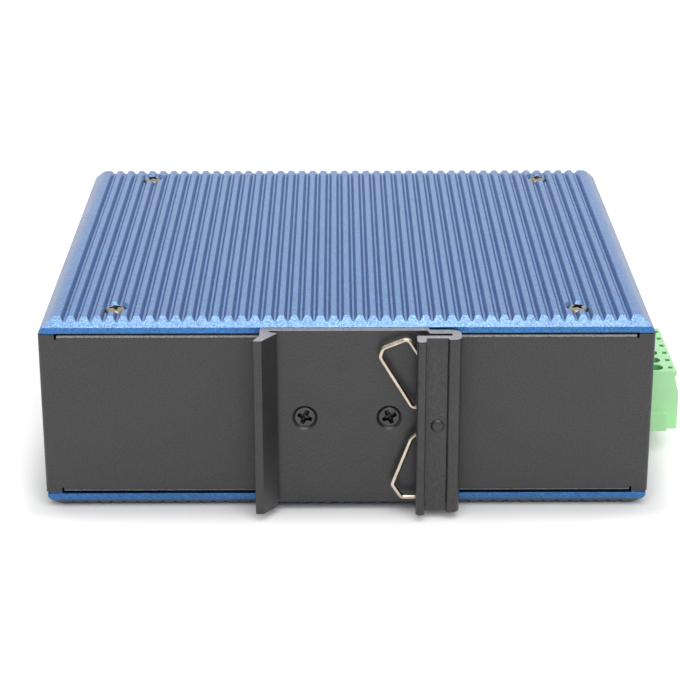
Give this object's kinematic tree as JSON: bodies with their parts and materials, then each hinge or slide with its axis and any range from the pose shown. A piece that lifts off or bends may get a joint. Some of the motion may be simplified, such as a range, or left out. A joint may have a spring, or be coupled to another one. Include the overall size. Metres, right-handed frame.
{
  "type": "din rail ethernet switch",
  "caption": "Industrial network switch in a folded steel case with two ribbed heat-sink covers, a spring clip for a 35 mm rail and a pluggable screw terminal.",
  "frame": {"origin": "centre of the clip face that seats on the rail, midway along the clip", "axes": "+X towards the screw terminal end, +Y from the rail to the front panel, +Z out of the upper cover; the switch lies on its lower cover"},
  "size_m": [0.1582, 0.1343, 0.0486],
  "materials": {
    "blue_anodised": "bead blasted, blue anodised, satin",
    "black_powder_coat": "fine powder coat on steel sheet",
    "black_anodised": "black anodised extrusion, cut ends grey",
    "nickel_plated_steel": "nickel plated, satin",
    "black_oxide_steel": "black oxide, satin",
    "zinc_plated_steel": "zinc plated",
    "spring_steel": "drawn spring wire, nickel finish",
    "circuit_board": "solder mask on glass epoxy",
    "black_nylon": "moulded black nylon",
    "tinned_steel": "tin plated sheet",
    "gold_plated_bronze": "gold plated contact wire",
    "clear_polycarbonate": "clear moulded light pipe",
    "white_led": "moulded package",
    "green_polyamide": "moulded green polyamide, satin",
    "tinned_brass": "tin plated brass",
    "black_epoxy": "moulded epoxy package",
    "grey_silicone": "soft filled silicone pad",
    "bare_aluminium": "milled aluminium",
    "grey_ferrite": "sintered ferrite",
    "can_aluminium": "sleeved aluminium can",
    "fuse_ceramic": "ceramic tube with end caps"
  },
  "bodies": {
    "switch": {"chassis_wrap": "black_powder_coat", "clock_crystal": "tinned_steel", "cover_screws_lower": "nickel_plated_steel", "cover_screws_upper": "nickel_plated_steel", "din_clip": "black_anodised", "din_clip_screws": "black_oxide_steel", "din_clip_spring": "spring_steel", "electrolytic_capacitors": "can_aluminium", "front_panel": "black_powder_coat", "front_panel_screws": "black_oxide_steel", "ground_nut": "zinc_plated_steel", "ground_screw": "nickel_plated_steel", "ground_washer": "nickel_plated_steel", "header_pins": "tinned_brass", "heat_spreader_block": "bare_aluminium", "heatsink_cover_lower": "blue_anodised", "heatsink_cover_upper": "blue_anodised", "input_fuse": "fuse_ceramic", "isolation_transformer": "grey_ferrite", "magnetics_modules": "black_epoxy", "main_pcb": "circuit_board", "pcb_screws": "nickel_plated_steel", "pcb_standoffs": "zinc_plated_steel", "power_inductors": "grey_ferrite", "rear_wall_nuts": "zinc_plated_steel", "rj45_contacts": "gold_plated_bronze", "rj45_housing": "black_nylon", "rj45_light_pipes": "clear_polycarbonate", "rj45_shield": "tinned_steel", "sfp_cage_1": "tinned_steel", "sfp_cage_2": "tinned_steel", "sfp_connector_1": "black_nylon", "sfp_connector_2": "black_nylon", "small_chips": "black_epoxy", "spring_pin": "black_oxide_steel", "status_leds": "white_led", "status_light_pipes": "clear_polycarbonate", "switch_chip": "black_epoxy", "terminal_header": "green_polyamide", "thermal_pad": "grey_silicone"},
    "terminal_plug": {"plug_housing": "green_polyamide", "plug_contacts": "tinned_brass"},
    "clamp_screw_1": {"clamp_screw_1": "zinc_plated_steel"},
    "clamp_cage_1": {"clamp_cage_1": "zinc_plated_steel"},
    "clamp_screw_2": {"clamp_screw_2": "zinc_plated_steel"},
    "clamp_cage_2": {"clamp_cage_2": "zinc_plated_steel"},
    "clamp_screw_3": {"clamp_screw_3": "zinc_plated_steel"},
    "clamp_cage_3": {"clamp_cage_3": "zinc_plated_steel"},
    "clamp_screw_4": {"clamp_screw_4": "zinc_plated_steel"},
    "clamp_cage_4": {"clamp_cage_4": "zinc_plated_steel"},
    "clamp_screw_5": {"clamp_screw_5": "zinc_plated_steel"},
    "clamp_cage_5": {"clamp_cage_5": "zinc_plated_steel"},
    "clamp_screw_6": {"clamp_screw_6": "zinc_plated_steel"},
    "clamp_cage_6": {"clamp_cage_6": "zinc_plated_steel"}
  },
  "joints": [
    {"name": "terminal_plug_pull", "type": "slide", "parent": "switch", "child": "terminal_plug", "axis": [1, 0, 0], "range_m": [0, 0.012]},
    {"name": "clamp_screw_1_turn", "type": "hinge", "parent": "terminal_plug", "child": "clamp_screw_1", "pos_m": [0.0781, 0.03504, -0.006], "axis": [0, 0, -1], "range_deg": [0, 1728.6]},
    {"name": "clamp_cage_1_rise", "type": "slide", "parent": "terminal_plug", "child": "clamp_cage_1", "axis": [0, 0, 1], "range_m": [0, 0.0024]},
    {"name": "clamp_screw_2_turn", "type": "hinge", "parent": "terminal_plug", "child": "clamp_screw_2", "pos_m": [0.0781, 0.04012, -0.006], "axis": [0, 0, -1], "range_deg": [0, 1728.6]},
    {"name": "clamp_cage_2_rise", "type": "slide", "parent": "terminal_plug", "child": "clamp_cage_2", "axis": [0, 0, 1], "range_m": [0, 0.0024]},
    {"name": "clamp_screw_3_turn", "type": "hinge", "parent": "terminal_plug", "child": "clamp_screw_3", "pos_m": [0.0781, 0.0452, -0.006], "axis": [0, 0, -1], "range_deg": [0, 1728.6]},
    {"name": "clamp_cage_3_rise", "type": "slide", "parent": "terminal_plug", "child": "clamp_cage_3", "axis": [0, 0, 1], "range_m": [0, 0.0024]},
    {"name": "clamp_screw_4_turn", "type": "hinge", "parent": "terminal_plug", "child": "clamp_screw_4", "pos_m": [0.0781, 0.05028, -0.006], "axis": [0, 0, -1], "range_deg": [0, 1728.6]},
    {"name": "clamp_cage_4_rise", "type": "slide", "parent": "terminal_plug", "child": "clamp_cage_4", "axis": [0, 0, 1], "range_m": [0, 0.0024]},
    {"name": "clamp_screw_5_turn", "type": "hinge", "parent": "terminal_plug", "child": "clamp_screw_5", "pos_m": [0.0781, 0.05536, -0.006], "axis": [0, 0, -1], "range_deg": [0, 1728.6]},
    {"name": "clamp_cage_5_rise", "type": "slide", "parent": "terminal_plug", "child": "clamp_cage_5", "axis": [0, 0, 1], "range_m": [0, 0.0024]},
    {"name": "clamp_screw_6_turn", "type": "hinge", "parent": "terminal_plug", "child": "clamp_screw_6", "pos_m": [0.0781, 0.06044, -0.006], "axis": [0, 0, -1], "range_deg": [0, 1728.6]},
    {"name": "clamp_cage_6_rise", "type": "slide", "parent": "terminal_plug", "child": "clamp_cage_6", "axis": [0, 0, 1], "range_m": [0, 0.0024]}
  ],
  "couplings": [
    {"joint": "clamp_screw_1_turn", "follows": "clamp_cage_1_rise", "rad_per_m": 12566},
    {"joint": "clamp_screw_2_turn", "follows": "clamp_cage_2_rise", "rad_per_m": 12566},
    {"joint": "clamp_screw_3_turn", "follows": "clamp_cage_3_rise", "rad_per_m": 12566},
    {"joint": "clamp_screw_4_turn", "follows": "clamp_cage_4_rise", "rad_per_m": 12566},
    {"joint": "clamp_screw_5_turn", "follows": "clamp_cage_5_rise", "rad_per_m": 12566},
    {"joint": "clamp_screw_6_turn", "follows": "clamp_cage_6_rise", "rad_per_m": 12566}
  ]
}
